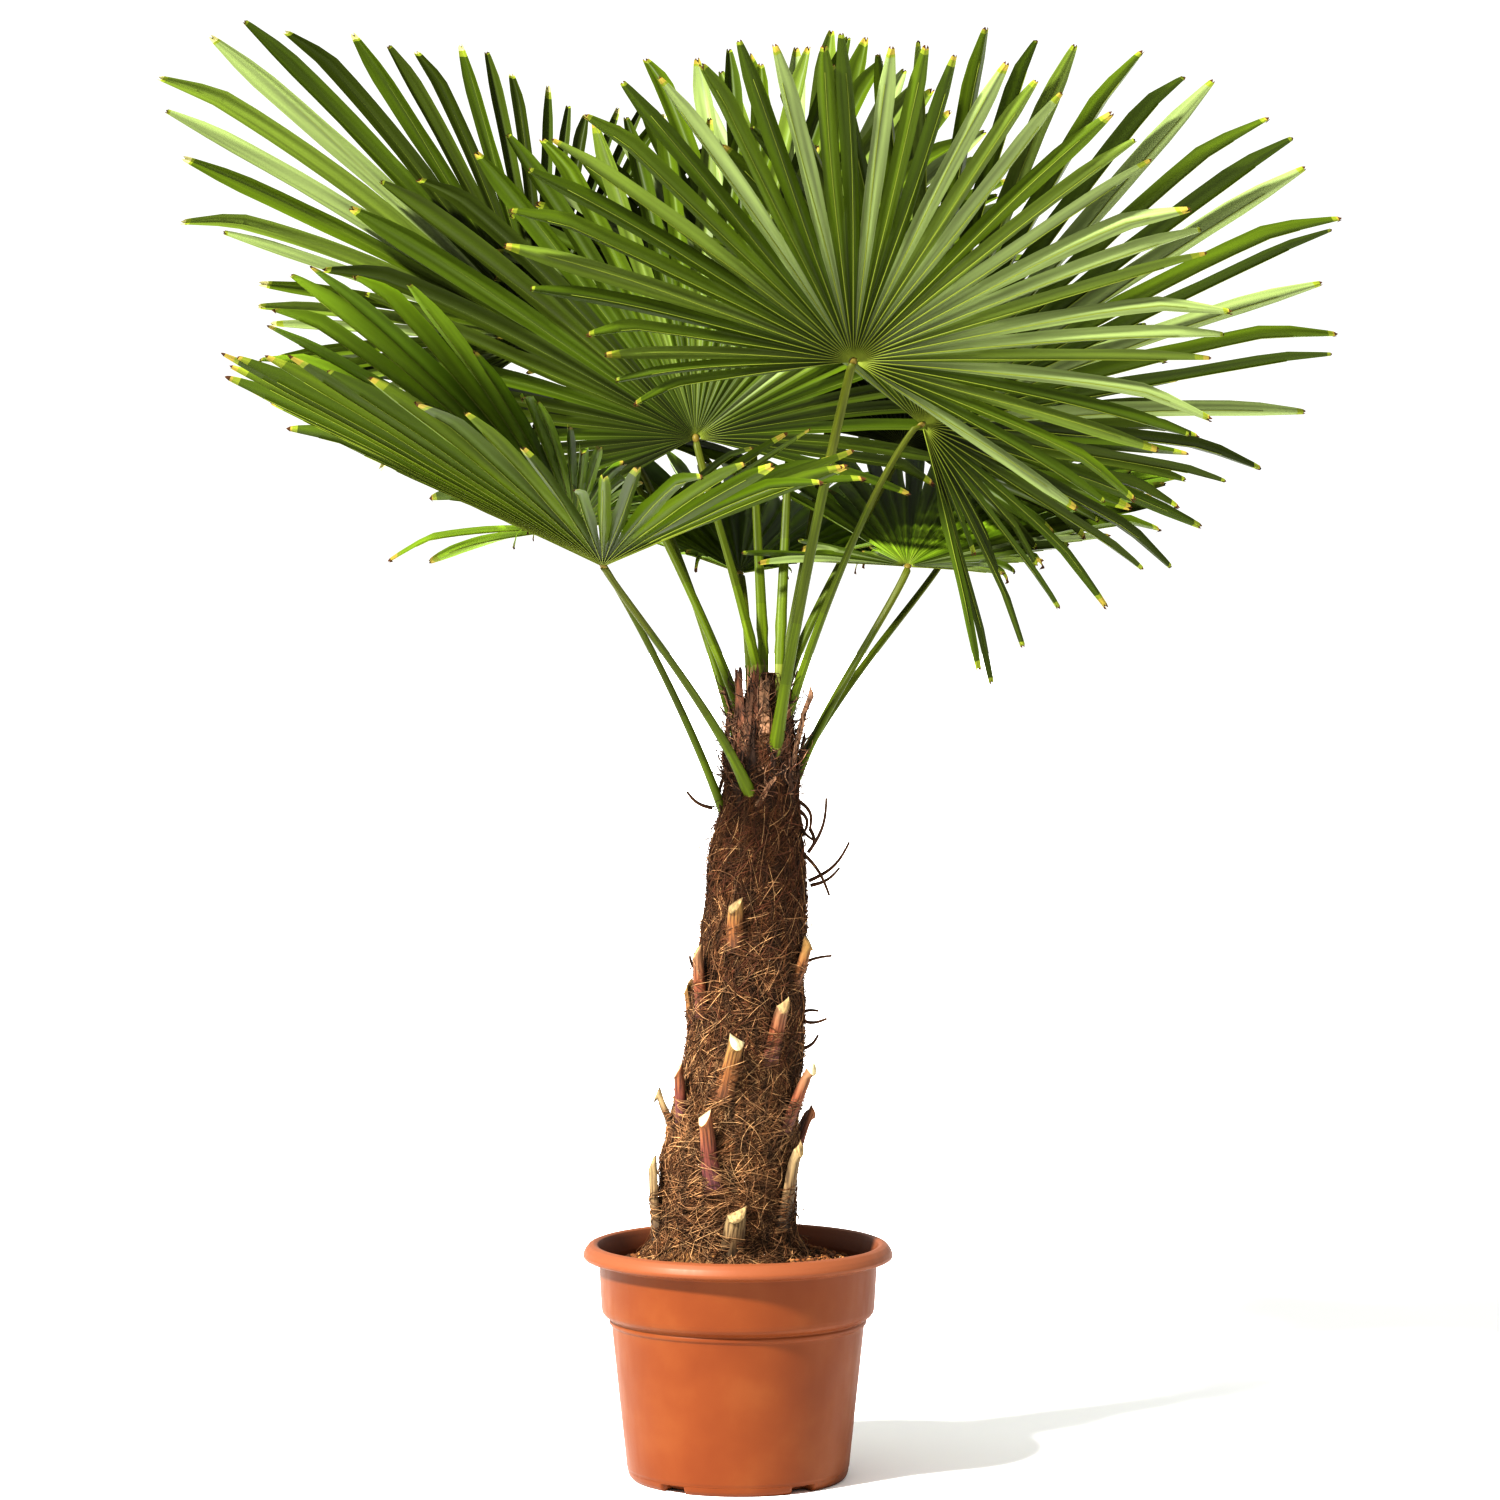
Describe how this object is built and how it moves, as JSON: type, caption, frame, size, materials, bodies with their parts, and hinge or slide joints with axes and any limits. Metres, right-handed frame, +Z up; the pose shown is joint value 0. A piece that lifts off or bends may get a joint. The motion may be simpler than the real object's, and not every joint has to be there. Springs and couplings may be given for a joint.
{
  "type": "potted windmill palm",
  "caption": "Windmill palm with stiff pleated fan fronds on long stalks over a leaning fibrous trunk, in a round tapered terracotta-coloured pot.",
  "frame": {"origin": "centre of the pot's flat underside, where it rests on the floor", "axes": "+Z up, -Y towards the side that the picture shows, +X to the right in that view"},
  "size_m": [1.3245, 1.1521, 1.6429],
  "materials": {
    "pot_plastic": "satin moulded plastic in a terracotta colour, slightly scuffed",
    "soil": "crumbly brown potting soil with pale flecks",
    "trunk_fibre": "trunk wrapped in brown matted fibre",
    "leaf_base": "dry orange-brown leaf bases with pale cut faces",
    "sheath": "torn dry brown sheath",
    "stalk": "smooth green stalk, satin",
    "leaf": "pleated green leaf blade, satin, with yellow and brown tips"
  },
  "bodies": {
    "root": {"pot": "pot_plastic", "soil": "soil", "trunk": "trunk_fibre", "base_1": "leaf_base", "base_2": "leaf_base", "base_3": "leaf_base", "base_4": "leaf_base", "base_5": "leaf_base", "base_6": "leaf_base", "base_7": "leaf_base", "base_8": "leaf_base", "base_9": "leaf_base", "base_10": "leaf_base", "base_11": "leaf_base", "base_12": "leaf_base", "base_13": "leaf_base", "base_14": "leaf_base", "base_15": "leaf_base", "base_16": "leaf_base", "sheath_1": "sheath", "sheath_2": "sheath", "sheath_3": "sheath", "stalk_1": "stalk", "stalk_2": "stalk", "stalk_3": "stalk", "stalk_4": "stalk", "stalk_5": "stalk", "stalk_6": "stalk", "stalk_7": "stalk", "stalk_8": "stalk", "stalk_9": "stalk", "stalk_10": "stalk", "stalk_11": "stalk", "stalk_12": "stalk", "stalk_13": "stalk", "stalk_14": "stalk", "frond_1": "leaf", "frond_2": "leaf", "frond_3": "leaf", "frond_4": "leaf", "frond_5": "leaf", "frond_6": "leaf", "frond_7": "leaf", "frond_8": "leaf", "frond_9": "leaf", "frond_10": "leaf", "frond_11": "leaf", "frond_12": "leaf", "frond_13": "leaf", "frond_14": "leaf"}
  },
  "joints": []
}
